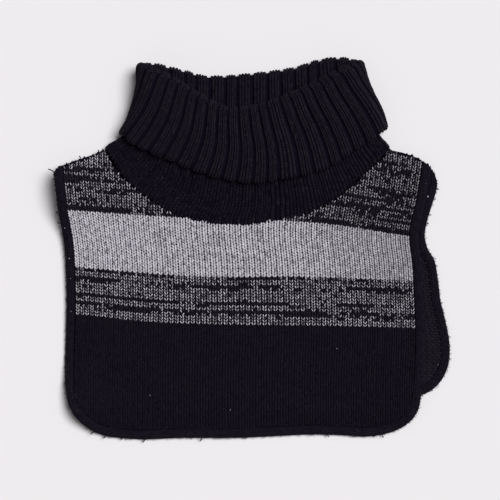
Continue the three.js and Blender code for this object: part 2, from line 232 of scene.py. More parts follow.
def ring_places(ring, line, turns, fan=0.0):
    """Places and outward directions at rib counts; fan is 1 at the rim and -1 at the hem."""
    right_fold, left_fold = (mix(h, r, (1 + fan) / 2) for h, r in zip(HEM_FOLDS, RIM_FOLDS))
    front_ribs = left_fold - right_fold
    turns = np.mod(turns + np.interp(turns, np.arange(RIBS), wander, period=RIBS) - right_fold, RIBS)
    found = np.empty((len(turns), 6))
    in_front = turns < front_ribs
    for is_front, mine, start, ribs in ((True, in_front, 0, front_ribs),
                                        (False, ~in_front, front_ribs, RIBS - front_ribs)):
        samples = half_ring(ring, line, is_front)
        samples = samples if is_front else samples[::-1]
        length = lengths_along(samples[:, :3])
        share = (turns[mine] - start) / ribs
        if is_front:
            share = share + CROWDING * fan * np.sin(2 * math.pi * share) / (2 * math.pi)
        found[mine] = np.stack([np.interp(share * length[-1], length, c) for c in samples.T], axis=1)
    return found[:, :3], found[:, 3:]


def ring_at(table, level):
    names = list(table)[1:]
    return {name: float(read(table, name, np.array([level]))[0]) for name in names}


def rim_line(across, table):
    return read(table, "rim", across) - FOLD_RADIUS


def stand_places(up, turns):
    def line(across, table):
        return mix(read(table, "seam", across), rim_line(across, table), up)
    return ring_places(ring_at(STAND, up), line, turns, fan=up)


def flap_places(down, turns):
    def line(across, table):
        return mix(rim_line(across, table), read(table, "hem", across), down)
    return ring_places(ring_at(FLAP, down), line, turns, fan=1 - 2 * down ** FAN_EARLY)

# %% [markdown]
# ## Faces of the collar's wall
#
# Each rib is round on top, with a sharp narrow groove on either side. On the turned-in side the relief
# is half as deep and half a rib further on. Displacement on a smooth tube could draw ribs too, but they
# would not follow the fold and the fanned hem. So we make the two faces of the wall as rows of points:
# the face that shows runs up the inside of the stand, over the rim and down to the hem. The other one
# runs back up between the two plies and down the outside of the stand to the neck seam.

# %% Relief of the ribs
GROOVE = 2.5
CREST_ROUNDNESS = 1.9
RIM_RELIEF = 0.5
RIM_PRESSED = 0.22
SEAM_RELIEF = 0.2
RELIEF_GROWS = (0.05, 0.35)
INNER_RELIEF = 0.5
HALF_RIB = 0.5
HEM_SCALLOP = 1.3
SCALLOP_POWER = 6


def groove(turns, shift=0.0):
    """How deep the wall is drawn in, from 0 on a rib to 1 in the groove between two ribs."""
    return np.abs(2 * np.mod(turns + shift, 1) - 1) ** CREST_ROUNDNESS


def rib_share(up):
    """Ribs are stretched nearly flat at the neck seam, and full from a third of the way up."""
    return mix(SEAM_RELIEF, 1, ease(up, *RELIEF_GROWS))


def near_rim(away):
    """The relief is pressed shallow on the rim, and full a fifth of the way down from it."""
    return mix(RIM_RELIEF, 1, ease(away, 0, RIM_PRESSED))


def scallop(turns, down):
    """The hem is drawn up a little in each groove."""
    return np.array([0, HEM_SCALLOP, 0]) * (groove(turns) * down**SCALLOP_POWER)[:, None]

# %% Two faces of the wall
STAND_ROWS = 26
FLAP_ROWS = 22
ARC_ROWS = 9
NECKBAND_TOP = 0.62
NECKBAND_ROWS = 16
HIDDEN_FLAP_ROWS = 9
HIDDEN_STAND_ROWS = 24
PLY_TOP = 0.05
HEM_FLATTER = 0.2
HEM_TUCK = 1.2
HEM_TUCK_START = 0.95


def visible_face(turns, sink=0.0):
    """Rows from the neck seam up the inside of the stand, over the rim and down to the hem."""
    rows = []
    for up in np.linspace(0, 1, STAND_ROWS):
        place, out = stand_places(up, turns)
        depth = HALF_WALL - sink - GROOVE * rib_share(up) * near_rim(1 - up) * groove(turns)
        rows.append(place - out * depth[:, None])
    place, out = ring_places(RIM, rim_line, turns, fan=1)
    radius = (FOLD_RADIUS - sink - GROOVE * RIM_RELIEF * groove(turns))[:, None]
    for angle in np.linspace(math.pi, 0, ARC_ROWS + 2)[1:-1]:
        step = out * math.cos(angle) + np.array([0, math.sin(angle), 0])
        rows.append(place + radius * step)
    for down in np.linspace(0, 1, FLAP_ROWS):
        place, out = flap_places(down, turns)
        tuck = HEM_TUCK * ease(down, HEM_TUCK_START, 1)
        relief = GROOVE * near_rim(down) * groove(turns) * (1 - HEM_FLATTER * down)
        depth = HALF_WALL - sink - relief - tuck
        rows.append(place + out * depth[:, None] + scallop(turns, down))
    return np.array(rows)


def neckband_face(turns, ups=np.linspace(NECKBAND_TOP, 0, NECKBAND_ROWS), sink=0.0):
    """Rows down the outside of the stand to the neck seam."""
    rows = []
    for up in ups:
        place, out = stand_places(up, turns)
        relief = INNER_RELIEF * GROOVE * rib_share(up) * groove(turns, HALF_RIB)
        rows.append(place + out * (HALF_WALL - sink - relief)[:, None])
    return np.array(rows)


def hidden_face(turns, sink=0.0):
    """Rows from the hem up the inside of the turned-down part, and down the outside of the stand."""
    rows = []
    for down in np.linspace(1, PLY_TOP, HIDDEN_FLAP_ROWS):
        place, out = flap_places(down, turns)
        depth = HALF_WALL - sink - INNER_RELIEF * GROOVE * groove(turns, HALF_RIB)
        rows.append(place - out * depth[:, None] + scallop(turns, down))
    place, out = ring_places(RIM, rim_line, turns, fan=1)
    for side in (0.5, -0.5):
        rows.append(place + out * PLY_GAP * side - np.array([0, PLY_GAP, 0]))
    stand = neckband_face(turns, np.linspace(1 - PLY_TOP, 0, HIDDEN_STAND_ROWS), sink)
    return np.concatenate([rows, stand])


whole = visible_face(np.arange(0, RIBS, 0.25))
print("collar spans", np.round(whole.min((0, 1)), 1), np.round(whole.max((0, 1)), 1))

# %% [markdown]
# ## Lining up with the frame
#
# The tables are drawn about their own zero, and the frame's zero lies under the middle of the whole
# object. The shift between the two is the same for every piece. The box of the front bib, which we read
# from the frame, shows at once whether the shift is right.

# %% The shift to the frame's zero
SHIFT = np.array([0.2552, -0.1338, 0])
front_low, front_high = (np.array(c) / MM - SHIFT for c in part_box("front_panel"))
print("front bib in the tables' own numbers", np.round(front_low, 1), np.round(front_high, 1))

# %% Meshes of points in millimetres
def outward(made):
    """Turns the faces of a closed mesh so that they point out."""
    work = bmesh.new()
    work.from_mesh(made.data)
    if work.calc_volume(signed=True) < 0:
        bmesh.ops.reverse_faces(work, faces=work.faces)
    work.to_mesh(made.data)
    work.free()


def mesh_object(name, points, faces, material):
    mesh = bpy.data.meshes.new(name)
    mesh.from_pydata(((points + SHIFT) * MM).tolist(), [], faces)
    mesh.polygons.foreach_set("use_smooth", [True] * len(mesh.polygons))
    mesh.materials.append(material)
    made = add_object(name, mesh)
    outward(made)
    return made


def grid_faces(rows, across, wrap_rows=False, wrap_across=False):
    faces = []
    for r in range(rows if wrap_rows else rows - 1):
        low, high = r * across, (r + 1) % rows * across
        for c in range(across if wrap_across else across - 1):
            d = (c + 1) % across
            faces.append((low + c, low + d, high + d, high + c))
    return faces


def triangles(made):
    return sum(len(p.vertices) - 2 for p in made.data.polygons)


def set_tone(made, tones):
    attribute = made.data.attributes.new("tone", "FLOAT", "POINT")
    attribute.data.foreach_set("value", np.asarray(tones, float))

# %% [markdown]
# ## Yarn colours
#
# The black is a cool black acrylic and the grey is a light melange. A colour for each zone would need a
# material for each. Here every strand carries a tone from 0 for black to 1 for grey, so that one
# material serves them all, and marled yarn lies between. A small noise on the colour and a fine bump
# along the strand stand for the plies and the fuzz.

# %% Yarn material
BLACK_YARN = (0.0048, 0.0030, 0.0084, 1)
GREY_YARN = (0.62, 0.60, 0.655, 1)
FUZZ_TINT = (0.85, 0.72, 1, 1)
MOTTLE = 0.2
NOISE_RANGE = (0.3, 0.7)
BUMP_DEPTH = 0.0004
BUMP_STRENGTH = 0.5


def add_node(tree, kind, settings, inputs):
    """A new node with its own settings, and with values for its inputs by name."""
    node = tree.nodes.new(kind)
    for name, value in settings.items():
        setattr(node, name, value)
    for name, value in inputs.items():
        node.inputs[name].default_value = value
    return node


def wire(tree, *wires):
    for source, output, target, socket in wires:
        tree.links.new(source.outputs[output], target.inputs[socket])


def yarn_material(name, noise_scale, sheen):
    material = bpy.data.materials.new(name)
    material.use_nodes = True
    tree = material.node_tree
    shader = tree.nodes["Principled BSDF"]
    for socket, value in (("Roughness", 0.95), ("Specular IOR Level", 0.04), ("Sheen Weight", sheen),
                          ("Sheen Roughness", 0.5), ("Sheen Tint", FUZZ_TINT)):
        shader.inputs[socket].default_value = value
    place = add_node(tree, "ShaderNodeTexCoord", {}, {})
    tone = add_node(tree, "ShaderNodeAttribute", {"attribute_name": "tone"}, {})
    colour = add_node(tree, "ShaderNodeMix", {"data_type": "RGBA"}, {"A": BLACK_YARN, "B": GREY_YARN})
    noise = add_node(tree, "ShaderNodeTexNoise", {}, {"Scale": noise_scale, "Detail": 3})
    spread = add_node(tree, "ShaderNodeMapRange", {}, {
        "From Min": NOISE_RANGE[0], "From Max": NOISE_RANGE[1],
        "To Min": 1 - MOTTLE, "To Max": 1 + MOTTLE})
    multiply = {"data_type": "RGBA", "blend_type": "MULTIPLY"}
    mottled = add_node(tree, "ShaderNodeMix", multiply, {"Factor": 1})
    bump = add_node(tree, "ShaderNodeBump", {}, {"Strength": BUMP_STRENGTH, "Distance": BUMP_DEPTH})
    wire(
        tree,
        (tone, "Fac", colour, "Factor"),
        (place, "Object", noise, "Vector"),
        (noise, "Fac", spread, "Value"),
        (colour, "Result", mottled, "A"),
        (spread, "Result", mottled, "B"),
        (mottled, "Result", shader, "Base Color"),
        (noise, "Fac", bump, "Height"),
        (bump, "Normal", shader, "Normal"),
    )
    return material


yarn = yarn_material("yarn", noise_scale=900.0, sheen=0.02)
ground = yarn_material("knit_ground", noise_scale=500.0, sheen=0.01)

# %% [markdown]
# ## Stitches with Geometry Nodes
#
# A plain knit stitch shows as a V: two legs of yarn, each a slim leaf that leans outwards and tucks
# under the stitch above it. A bump pattern would be flat at the edges and from the side, so we knit real
# legs. Geometry Nodes get one point for each leg, with the way it turns, its size and its tone as
# attributes. The tree makes one leaf of yarn, sets it on every point, and realizes the lot as a plain
# mesh.

# %% The tree that turns points into yarn legs
LEG_INPUTS = {"Legs": "NodeSocketGeometry", "Sides": "NodeSocketInt", "Rings": "NodeSocketInt",
              "Yarn": "NodeSocketMaterial"}


def leg_tree():
    tree = bpy.data.node_groups.new("yarn_legs", "GeometryNodeTree")
    for name, kind in LEG_INPUTS.items():
        tree.interface.new_socket(name, in_out="INPUT", socket_type=kind)
    tree.interface.new_socket("Legs", in_out="OUTPUT", socket_type="NodeSocketGeometry")
    given = tree.nodes.new("NodeGroupInput")
    made = tree.nodes.new("NodeGroupOutput")
    leaf = add_node(tree, "GeometryNodeMeshUVSphere", {}, {"Radius": 0.5})
    lay = add_node(tree, "GeometryNodeTransform", {}, {"Rotation": (math.radians(90), 0, 0)})
    smooth = tree.nodes.new("GeometryNodeSetShadeSmooth")
    vector = {"data_type": "FLOAT_VECTOR"}
    turn = add_node(tree, "GeometryNodeInputNamedAttribute", vector, {"Name": "leg_turn"})
    size = add_node(tree, "GeometryNodeInputNamedAttribute", vector, {"Name": "leg_size"})
    place = tree.nodes.new("GeometryNodeInstanceOnPoints")
    real = tree.nodes.new("GeometryNodeRealizeInstances")
    dress = tree.nodes.new("GeometryNodeSetMaterial")
    wire(
        tree,
        (given, "Sides", leaf, "Segments"),
        (given, "Rings", leaf, "Rings"),
        (leaf, "Mesh", lay, "Geometry"),
        (lay, "Geometry", smooth, "Geometry"),
        (given, "Legs", place, "Points"),
        (smooth, "Geometry", place, "Instance"),
        (turn, "Attribute", place, "Rotation"),
        (size, "Attribute", place, "Scale"),
        (place, "Instances", real, "Geometry"),
        (real, "Geometry", dress, "Geometry"),
        (given, "Yarn", dress, "Material"),
        (dress, "Geometry", made, "Legs"),
    )
    return tree


LEG_TREE = leg_tree()

# %% Yarn legs from points
LEG_SIDES = 5
LEG_RINGS = 3


def turn_angles(side, along, up):
    """Euler angles of many frames given by their three directions."""
    x = np.arctan2(along[:, 2], up[:, 2])
    y = np.arcsin(np.clip(-side[:, 2], -1, 1))
    z = np.arctan2(side[:, 1], side[:, 0])
    return np.stack([x, y, z], axis=1)


def unit(v):
    return v / np.maximum(np.linalg.norm(v, axis=-1, keepdims=True), 1e-12)


def make_legs(name, places, angles, sizes, tones, sides=LEG_SIDES, rings=LEG_RINGS):
    """One mesh of yarn legs, from a point, a turn, a size and a tone for each of them."""
    mesh = bpy.data.meshes.new(name + "_points")
    mesh.from_pydata(((places + SHIFT) * MM).tolist(), [], [])
    for label, kind, values in (("leg_turn", "FLOAT_VECTOR", angles),
                                ("leg_size", "FLOAT_VECTOR", sizes * MM),
                                ("tone", "FLOAT", tones)):
        attribute = mesh.attributes.new(label, kind, "POINT")
        attribute.data.foreach_set("vector" if values.ndim > 1 else "value", values.ravel())
    holder = add_object(name + "_points", mesh)
    grow = holder.modifiers.new("legs", "NODES")
    grow.node_group = LEG_TREE
    sockets = {i.name: i.identifier for i in LEG_TREE.interface.items_tree if i.in_out == "INPUT"}
    for socket, value in (("Sides", sides), ("Rings", rings), ("Yarn", yarn)):
        grow[sockets[socket]] = value
    evaluated = holder.evaluated_get(bpy.context.evaluated_depsgraph_get())
    plain = bpy.data.meshes.new_from_object(evaluated)
    for spare in ("leg_turn", "leg_size"):
        if spare in plain.attributes:
            plain.attributes.remove(plain.attributes[spare])
    plain.name = name
    made = add_object(name, plain)
    bpy.data.objects.remove(holder)
    print(name, len(places), "legs,", triangles(made), "triangles")
    return made

# %% Frames for legs along a surface
LEG_LEAN = math.radians(24)
LEAN_SPREAD = math.radians(2.5)
LEG_TUCK = math.radians(9)
TUCK_SPREAD = math.radians(2)
random = np.random.default_rng(20)


def leg_frames(along, side, lean_sign, leg_lean=LEG_LEAN):
    """Turns for legs that lean to one side of the wale and tuck their lower end under."""
    along, side = unit(along), unit(side)
    up = unit(np.cross(side, along))
    side = np.cross(along, up)
    lean = (leg_lean + random.normal(0, LEAN_SPREAD, len(along)))[:, None] * lean_sign[:, None]
    direction = along * np.cos(lean) + side * np.sin(lean)
    tuck = LEG_TUCK + random.normal(0, TUCK_SPREAD, len(along))[:, None]
    direction = direction * np.cos(tuck) + up * np.sin(tuck)
    across = unit(np.cross(direction, up))
    return turn_angles(across, direction, np.cross(across, direction)), up

# %% [markdown]
# ## The collar
#
# The ground of the collar is one closed wall of cloth. The stitches alone would leave gaps that let the
# table through, and the wall alone would look like moulded rubber. So over the wall run the ribs: two
# wales of V stitches on each crest, drawn together so that only a narrow dark groove shows between two
# ribs.

# %% The collar's wall
STATIONS_PER_RIB = 8
GROUND_SINK = 0.6
collar_turns = np.arange(0, RIBS, 1 / STATIONS_PER_RIB)
loop = np.concatenate([visible_face(collar_turns, GROUND_SINK), hidden_face(collar_turns, GROUND_SINK)])
collar = mesh_object(
    "collar_ground",
    loop.reshape(-1, 3),
    grid_faces(len(loop), len(collar_turns), wrap_rows=True, wrap_across=True),
    ground,
)
print("collar ground", triangles(collar), "triangles")

# %% Stitches on the collar
RIB_LEAN = math.radians(12)
RIB_LEG = (0.98, 1.9, 1.3)
RIB_RISE = -0.3
RIB_UNEVEN = 0.06
WALE_LEGS = (0.20, 0.385, 0.615, 0.80)
NECKBAND_LEG = (1, 1.9, 1)
NECKBAND_RISE = -0.45
NECKBAND_LEGS = (0.1, 0.35, 0.6, 0.85)
LEG_SIGNS = (-1, 1, -1, 1)
# One black rib yarn in three tones: the flap's is lighter as painted light, the neckband's is darker as
# painted shade under the flap's hem, and the inside of the stand lies between them.
OUT_TONE_WITH_PAINTED_LIGHT = 0.011
IN_TONE = 0.009
NECKBAND_TONE_WITH_PAINTED_SHADE = 0.005
TONE_SPREAD = 0.003
COLLAR_COURSES = 72
NECKBAND_COURSES = 22
NUDGE = 0.02
EDGE_REACH = 1.0
LOWEST_LEG = 1.9
TURN_DOWN = 0.55


def along_path(at, length, path):
    return np.stack([np.interp(at, length, path[:, k]) for k in range(3)], axis=1)


def knit_ribs(name, face, legs, courses, leg_size, rise, tone, keep=(0.0, 1.0)):
    """Yarn legs in wales along a face of the collar, for the courses within a share of its height."""
    turns = (np.arange(RIBS)[:, None] + np.array(legs)).ravel()
    paths = face(turns).swapaxes(0, 1)
    asides = (face(turns + NUDGE) - face(turns - NUDGE)).swapaxes(0, 1)
    share = (np.arange(courses) + 0.5) / courses
    share = share[(share > keep[0]) & (share <= keep[1])]
    found = []
    for path, aside in zip(paths, asides):
        length = lengths_along(path)
        at = (share + random.normal(0, RIB_UNEVEN, len(share)) / courses) * length[-1]
        ahead = along_path(at + EDGE_REACH, length, path)
        behind = along_path(at - EDGE_REACH, length, path)
        pitch = np.full(len(share), length[-1] / courses)
        here = along_path(at, length, path)
        found.append(np.column_stack([here, ahead - behind, along_path(at, length, aside), pitch]))
    places, alongs, sides, pitch = np.split(np.concatenate(found), (3, 6, 9), axis=1)
    angles, up = leg_frames(alongs, sides, np.repeat(np.tile(LEG_SIGNS, RIBS), len(share)), RIB_LEAN)
    widths = np.linalg.norm(sides, axis=1) / (2 * NUDGE) * (legs[1] - legs[0])
    sizes = np.column_stack([widths, pitch, np.ones(len(widths))]) * leg_size
    sizes *= random.normal(1, RIB_UNEVEN, sizes.shape)
    tones = random.normal(tone, TONE_SPREAD, len(places)).clip(0)
    places = places + up * rise
    places[:, 2] = np.maximum(places[:, 2], LOWEST_LEG)
    return make_legs(name, places, angles, sizes, tones)


outer = knit_ribs("collar_stitches_out", visible_face, WALE_LEGS, COLLAR_COURSES,
                  RIB_LEG, RIB_RISE, OUT_TONE_WITH_PAINTED_LIGHT, keep=(TURN_DOWN, 1.0))
inner = knit_ribs("collar_stitches_in", visible_face, WALE_LEGS, COLLAR_COURSES,
                  RIB_LEG, RIB_RISE, IN_TONE, keep=(0.0, TURN_DOWN))
neckband = knit_ribs("neckband_stitches", neckband_face, NECKBAND_LEGS, NECKBAND_COURSES,
                     NECKBAND_LEG, NECKBAND_RISE, NECKBAND_TONE_WITH_PAINTED_SHADE)

# %% [markdown]
# ## Edges and heights of the bibs
#
# Each bib is a sheet of plain knit inside a narrow knitted band. A plane cut to shape and dropped on the
# other would slide, so both edges are drawn: a smooth curve through a table is the outer edge of a bib.
# The front bib lies on the back bib, so its underside is lifted where the back bib is below it, and
# slopes down to the table beyond it. Two corners stand a little off the table, which is what throws the
# soft shadows beside them.

# %% Edges of the bibs
FRONT_EDGE = np.array([
    (-158, 76), (-157.5, 65), (-156.8, 56.8), (-155.6, 46), (-154.4, 32), (-152.4, 18.4),
    (-149.9, 0), (-148.9, -20), (-148.5, -42), (-148.9, -62), (-149.7, -94), (-148.8, -113),
    (-145.6, -126), (-138, -137.2), (-128.6, -145), (-118, -149.6), (-105.6, -151.7),
    (-86.4, -152.6), (-57.6, -151.6), (-10, -151.4), (19.2, -150), (44, -148.8), (75.2, -149.4),
    (88, -150.5), (99.2, -149.8), (108.8, -147.7), (118.4, -144), (126.8, -138), (132.6, -129.6),
    (135.2, -118), (138, -72.8), (137.2, -40.8), (135.4, -10.4), (133.2, 8), (133.8, 17),
    (138.4, 36), (142, 58), (143, 65), (144, 76),
])
BACK_EDGE = np.array([
    (-156.8, 76), (-156.2, 65), (-153.8, 50), (-147, 22), (-141, -8), (-138, -45),
    (-137, -80), (-133, -101), (-122, -115), (-102, -120), (-50, -121),
    (30, -120.5), (100, -120.4), (123, -120.6), (143.4, -113.6), (152.3, -104.8), (157.1, -94),
    (158.7, -82), (158, -72), (155, -56.8), (151.2, -40.8), (149.3, -24.8), (146.2, -8.8),
    (140.9, 0.4), (138.6, 11), (140.7, 23.2), (144.9, 37), (148.5, 50), (148.6, 62),
    (148.8, 76),
])
LEFT_SHOULDER = columns("x y", [(-158.2, 56), (-157.5, 60.2), (-155.7, 63.4), (-152, 66),
                                (-144, 69), (-134.4, 72.7), (-124.8, 76.4), (-118.6, 79.4)])
RIGHT_SHOULDER = columns("x y", [(111.6, 79), (124, 76), (134.4, 71.8), (141, 67.4),
                                 (145.6, 62), (147.6, 57), (149, 50)])
SEAM_SPAN = (-117.6, 110.4)
SEAM_MIDDLE = sum(SEAM_SPAN) / 2
SEAM_REACH = (SEAM_SPAN[1] - SEAM_SPAN[0]) / 2
BIB_WALL = 3.0
TRIM_WIDTH = 7.0
TRIM_HEIGHT = 4.0
SEAM_GAP = 0.35
NECK_GAP = 0.8
SEGMENT_SAMPLES = 60


def edge_path(points):
    """A centripetal curve through the points, as a function of the share of its length."""
    points = np.concatenate([[2 * points[0] - points[1]], points, [2 * points[-1] - points[-2]]])
    pieces = []
    t = np.linspace(0, 1, SEGMENT_SAMPLES, endpoint=False)[:, None]
    for p0, p1, p2, p3 in zip(points, points[1:], points[2:], points[3:]):
        d0, d1, d2 = (math.sqrt(np.linalg.norm(b - a)) for a, b in ((p0, p1), (p1, p2), (p2, p3)))
        m1 = d1 * ((p1 - p0) / d0 - (p2 - p0) / (d0 + d1) + (p2 - p1) / d1)
        m2 = d1 * ((p2 - p1) / d1 - (p3 - p1) / (d1 + d2) + (p3 - p2) / d2)
        cubic = 2 * p1 - 2 * p2 + m1 + m2
        square = -3 * p1 + 3 * p2 - 2 * m1 - m2
        pieces.append(((cubic * t + square) * t + m1) * t + p1)
    path = np.concatenate(pieces + [points[-2:-1]])
    length = lengths_along(path)

    def at(share):
        return np.stack([np.interp(share * length[-1], length, path[:, k]) for k in (0, 1)], axis=-1)

    at.length = length[-1]
    return at


def inset(path, distance, steps=400):
    share = np.linspace(0, 1, steps + 1)
    step = 0.5 / steps
    tangent = unit(path(np.clip(share + step, 0, 1)) - path(np.clip(share - step, 0, 1)))
    return path(share) + np.stack([-tangent[:, 1], tangent[:, 0]], axis=1) * distance


class Sides:
    """The left, right and lower edges of a bib, read off its inset edge."""

    def __init__(self, points, corner_left, corner_right, distance):
        edge = inset(edge_path(points), distance)
        low = int(np.argmin(edge[:, 1]))
        left = edge[:low + 1][edge[:low + 1, 1] >= corner_left]
        right = edge[low:][edge[low:, 1] >= corner_right]
        bottom = edge[len(left) - 1:len(edge) - len(right) + 1]
        self.corner = (corner_left, corner_right)
        self.left_rows = left[::-1]
        self.right_rows = right
        self.bottom_rows = bottom[np.argsort(bottom[:, 0])]

    def left(self, y):
        return np.interp(np.maximum(y, self.corner[0]), self.left_rows[:, 1], self.left_rows[:, 0])

    def right(self, y):
        return np.interp(np.maximum(y, self.corner[1]), self.right_rows[:, 1], self.right_rows[:, 0])

    def bottom(self, x):
        return np.interp(x, self.bottom_rows[:, 0], self.bottom_rows[:, 1])

    def x(self, share, y):
        return mix(self.left(y), self.right(y), share)


BIB_INSET = TRIM_WIDTH + SEAM_GAP
front_sides = Sides(FRONT_EDGE, -104, -104, BIB_INSET)
back_sides = Sides(BACK_EDGE, -80, -82, BIB_INSET)
back_outer = Sides(BACK_EDGE, -80, -82, 0)
print("front bib spans", np.round(front_sides.left(0), 1), np.round(front_sides.right(0), 1))

# %% Heights of the bibs
PILE = 4.5
SHOULDER_PILE = 3.8
SHOULDER_CUT = 0.4
SHOULDER_REACH = 10
NECK_RISE = 3.1
NECK_RISE_REACH = 38
HEM_DROP = (-147, -127)
SIDE_DROP = 12
LIFTED_PLACES = ((-158, 50, 16, 46), (-148, -128, 7, 46))


def neck_edge(x, lines):
    moved = x + np.where(x < SEAM_MIDDLE, NECK_GAP, -NECK_GAP)
    return read(lines, "seam", (moved - SEAM_MIDDLE) / SEAM_REACH) - NECK_GAP


def shoulder_line(x):
    return np.where(x < 0, read(LEFT_SHOULDER, "y", x), read(RIGHT_SHOULDER, "y", x))


def in_neck(x):
    return (x > LEFT_SHOULDER["x"][-1]) & (x < RIGHT_SHOULDER["x"][0])


def top_edge(x, lines):
    return np.where(in_neck(x), neck_edge(x, lines), shoulder_line(x))


def corner_lift(x, y, places=LIFTED_PLACES):
    """How far the cloth stands off the table near its lifted corners."""
    return sum(lift * ease(reach - np.hypot(x - x0, y - y0), 0, reach) for x0, y0, lift, reach in places)


def pile(x, y):
    reach = back_outer.left(y)
    return PILE * ease(y, *HEM_DROP) * ease(x, reach - SIDE_DROP, reach)


def front_underside(x, y):
    joined = np.where(in_neck(x), 1, ease(shoulder_line(x) - y, 0, SHOULDER_REACH))
    beside = np.maximum(0, np.abs(x - SEAM_MIDDLE) - SEAM_REACH)
    below = np.maximum(0, neck_edge(x, FRONT_LINES) - y)
    near = ease(NECK_RISE_REACH - np.hypot(beside, below), 0, NECK_RISE_REACH)
    lying = mix(np.minimum(SHOULDER_PILE, pile(x, y)), pile(x, y), joined)
    return lying + NECK_RISE * near * joined + corner_lift(x, y)


def trim_underside(x, y):
    return pile(x, y) + corner_lift(x, y)

# %% [markdown]
# ## Stripes by courses
#
# Knitting is counted in courses, the rows of stitches. A stripe is a number of courses in one yarn. A
# painted stripe would cut through stitches, so here its edge follows a course, slightly curved where the
# cloth has drawn. Three guide lines tell where the courses lie, and the courses between two lines are
# spread evenly.

# %% Course lines
GREY_TOP = columns("x y", [(-146, 30.6), (-141.6, 30.4), (-65.6, 25.6), (50.4, 20.8), (124, 10.4),
                           (132, 9)])
GREY_BOTTOM = columns("x y", [(-146, -14.6), (-136, -15.2), (-41.6, -22.4), (38.4, -22.4),
                              (132, -25.8)])
MARL_BOTTOM = columns("x y", [(-146, -52), (-133.6, -52.8), (-81.6, -58.4), (-1.6, -60.8),
                              (62.4, -61.6), (132, -63.4)])
COURSE = 2.2
GREY_COURSES = 21
MARL_COURSES = 17
BLACK_COURSES = 40
YOKE_COURSES = 30
WALES = 66
HEM_LINE = -149.0
PLACE_ROUNDS = 3


def course_height(x, course):
    """Y of a course; course 0 is the first grey one, and courses count down towards the hem."""
    top, bottom = read(GREY_TOP, "y", x), read(GREY_BOTTOM, "y", x)
    marl = read(MARL_BOTTOM, "y", x)
    grey = mix(top, bottom, course / GREY_COURSES)
    marled = mix(bottom, marl, (course - GREY_COURSES) / MARL_COURSES)
    black = mix(marl, HEM_LINE, (course - GREY_COURSES - MARL_COURSES) / BLACK_COURSES)
    low = np.where(course < GREY_COURSES + MARL_COURSES, marled, black)
    return np.where(course < 0, top - course * COURSE, np.where(course < GREY_COURSES, grey, low))


def front_place(share, course):
    """A point on the upper face of the front bib, from the share across it and the course."""
    y = course_height(front_sides.x(share, 0), course)
    for _ in range(PLACE_ROUNDS):
        x = front_sides.x(share, y)
        y = course_height(x, course)
    return np.stack([x, y, front_underside(x, y) + BIB_WALL], axis=-1)


# %% Noise along a course
NOISE_REACH = 200


def smooth_noise(rng, at, length):
    """Noise along a line, with a new value every length."""
    cells = rng.random(int(2 * NOISE_REACH / length) + 3)
    s = (at + NOISE_REACH) / length
    i = s.astype(int)
    return mix(cells[i], cells[i + 1], ease(s - i, 0, 1))


# %% Tones of the marled courses
MARL_ROWS = [0.5, 0.8, 0.85, 0.4, 0.6, 0.85, 0.8, 0.85, 0.8, 0.35, 0.7, 0.8, 0.35, 0.4, 0.75, 0.95, 0.95]
YOKE_ROWS = [0.5, 0.6, 0.75, 0.75, 0.45, 0.75, 0.75, 0.45, 0.4, 0.8, 0.65, 0.4, 0.7, 0.8, 0.45, 0.4,
             0.8, 0.85, 0.6, 0.8, 0.85, 0.75, 0.5, 0.75, 0.8, 0.6, 0.75, 0.6, 0.7, 0.6]
PATCH = 26
SMALL_PATCH = 8
SMALL_PATCH_SHARE = 0.4
PATCH_MEAN = 0.72
PATCH_SHARE = 0.58
LIT_FROM_TO = (0.2, 0.75)
LIT_STRANDS = (0.22, 1.08)
DARK_STRANDS = (0.005, 0.05)
YOKE_FADE = (-20, 110)
YOKE_DARKER = 0.06
YOKE_DIM = (0.9, 0.68)
CORNER_FADE = (-116, -92)
CORNER_DARKER = 0.6
CORNER_COURSES = 2
LINKED_EDGE = 1.5
marl_random = np.random.default_rng(7)


def marl_tone(middle, course):
    """The light strand of the marl lies on top or is hidden, course by course and in patches."""
    x = middle[:, 0]
    tones = np.zeros(len(x))
    for c in np.unique(course):
        row = course == c
        at = x[row]
        light = YOKE_ROWS[-c - 1] if c < 0 else MARL_ROWS[c - GREY_COURSES]
        patch = smooth_noise(marl_random, at, PATCH)
        patch = patch + SMALL_PATCH_SHARE * smooth_noise(marl_random, at, SMALL_PATCH)
        share = light + PATCH_SHARE * (patch - PATCH_MEAN)
        bright = 1.0
        if c < 0:
            share = share - YOKE_DARKER * ease(at, *YOKE_FADE)
            bright = mix(*YOKE_DIM, ease(at, *YOKE_FADE))
        if -CORNER_COURSES <= c < 0:
            share = share - CORNER_DARKER * (1 - ease(at, *CORNER_FADE))
        lit = marl_random.random(len(at)) < ease(share, *LIT_FROM_TO)
        chance = marl_random.random(len(at))
        tones[row] = np.where(lit, bright * mix(*LIT_STRANDS, chance), mix(*DARK_STRANDS, chance))
    linked = ~in_neck(x) & (shoulder_line(x) - middle[:, 1] < LINKED_EDGE)
    return np.where(linked, 0, tones)

# %% [markdown]
# ## The front bib
#
# The bib is plain knit. Stitches alone would show the table in the gaps between them, so a closed sheet
# of dark cloth lies a little below them; under the grey band its tone is painted shade between the
# stitches, far darker than the grey yarn. Every V is then knitted with two legs of yarn, wale by wale
# and course by course, and cut off where the trim and the collar begin. Marled yarn is a dark leg with
# a thin light strand on it, as it is spun from a dark and a light ply.

# %% The front bib's sheet
SHEET_MARGIN = 0.001
SHOULDER_GUESS = 80.0
GUESSES = 6
GREY_INSET = 1.5
# Under the grey band the sheet is far darker than the grey yarn: painted shade between the stitches.
SHADE_UNDER_GREY = 0.035
UNDER_BLACK = 0.004


